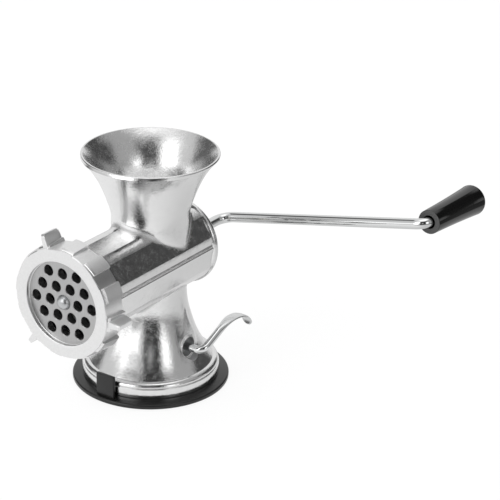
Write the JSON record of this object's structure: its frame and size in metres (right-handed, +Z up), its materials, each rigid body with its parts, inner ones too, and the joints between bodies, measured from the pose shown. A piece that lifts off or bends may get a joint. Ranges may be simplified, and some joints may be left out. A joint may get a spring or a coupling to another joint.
{
  "type": "hand crank meat grinder",
  "caption": "Hand crank meat grinder: cast hopper, barrel and pedestal on a lever-locked suction foot, with clamp ring, hole plate, knife, feed screw and bent crank.",
  "frame": {"origin": "middle of the suction foot's flat underside", "axes": "+Z up the hopper axis; the barrel runs along Y with the hole plate towards -Y and the crank towards +Y; the crank arm points to +X at rest"},
  "size_m": [0.2186, 0.232, 0.1575],
  "materials": {
    "polished_aluminium": "polished casting",
    "satin_aluminium": "satin, turned face",
    "cast_aluminium": "as cast",
    "ground_steel": "surface ground",
    "plain_steel": "bright zinc",
    "chromed_steel": "polished chrome",
    "black_plastic": "gloss moulded",
    "black_rubber": "matt moulded",
    "white_nylon": "turned"
  },
  "bodies": {
    "housing": {"body_casting": "polished_aluminium", "plate_key_pin": "plain_steel", "rear_bush": "white_nylon", "suction_cup": "black_rubber"},
    "plate": {"hole_plate": "ground_steel"},
    "ring": {"clamp_ring": "satin_aluminium"},
    "crank": {"auger": "cast_aluminium", "auger_spindle": "plain_steel", "cross_knife": "ground_steel", "thrust_washer": "white_nylon", "crank_rod": "chromed_steel", "crank_washer": "plain_steel", "crank_lock_nut": "chromed_steel", "grip_push_nut": "plain_steel"},
    "grip": {"crank_grip": "black_plastic", "grip_end_cap": "black_plastic"},
    "lever": {"lever_shaft": "plain_steel", "shaft_clip": "plain_steel", "suction_lever": "chromed_steel"},
    "plunger": {"plunger_disc": "plain_steel", "plunger_nut": "plain_steel", "plunger_yoke": "cast_aluminium"}
  },
  "joints": [
    {"name": "crank_turn", "type": "hinge", "parent": "housing", "child": "crank", "pos_m": [0, 0.0365, 0.0852], "axis": [0, -1, 0], "continuous": true},
    {"name": "grip_spin", "type": "hinge", "parent": "crank", "child": "grip", "pos_m": [0.15616, 0.0805, 0.12097], "axis": [0.0109, 0.9988, -0.0476], "continuous": true},
    {"name": "plate_slide", "type": "slide", "parent": "housing", "child": "plate", "axis": [0, -1, 0], "range_m": [0, 0.00601]},
    {"name": "ring_turn", "type": "hinge", "parent": "plate", "child": "ring", "pos_m": [0, -0.084, 0.0852], "axis": [0, -1, 0], "range_deg": [0, 720]},
    {"name": "lever_turn", "type": "hinge", "parent": "housing", "child": "lever", "pos_m": [0, 0, 0.0288], "axis": [1, 0, 0], "range_deg": [0, 120]},
    {"name": "plunger_lift", "type": "slide", "parent": "housing", "child": "plunger", "axis": [0, 0, 1], "range_m": [0, 0.0053]}
  ],
  "couplings": [
    {"joint": "plate_slide", "follows": "ring_turn", "m_per_rad": 0.00047746},
    {"joint": "plunger_lift", "follows": "lever_turn", "m_per_rad": 0.002481}
  ]
}
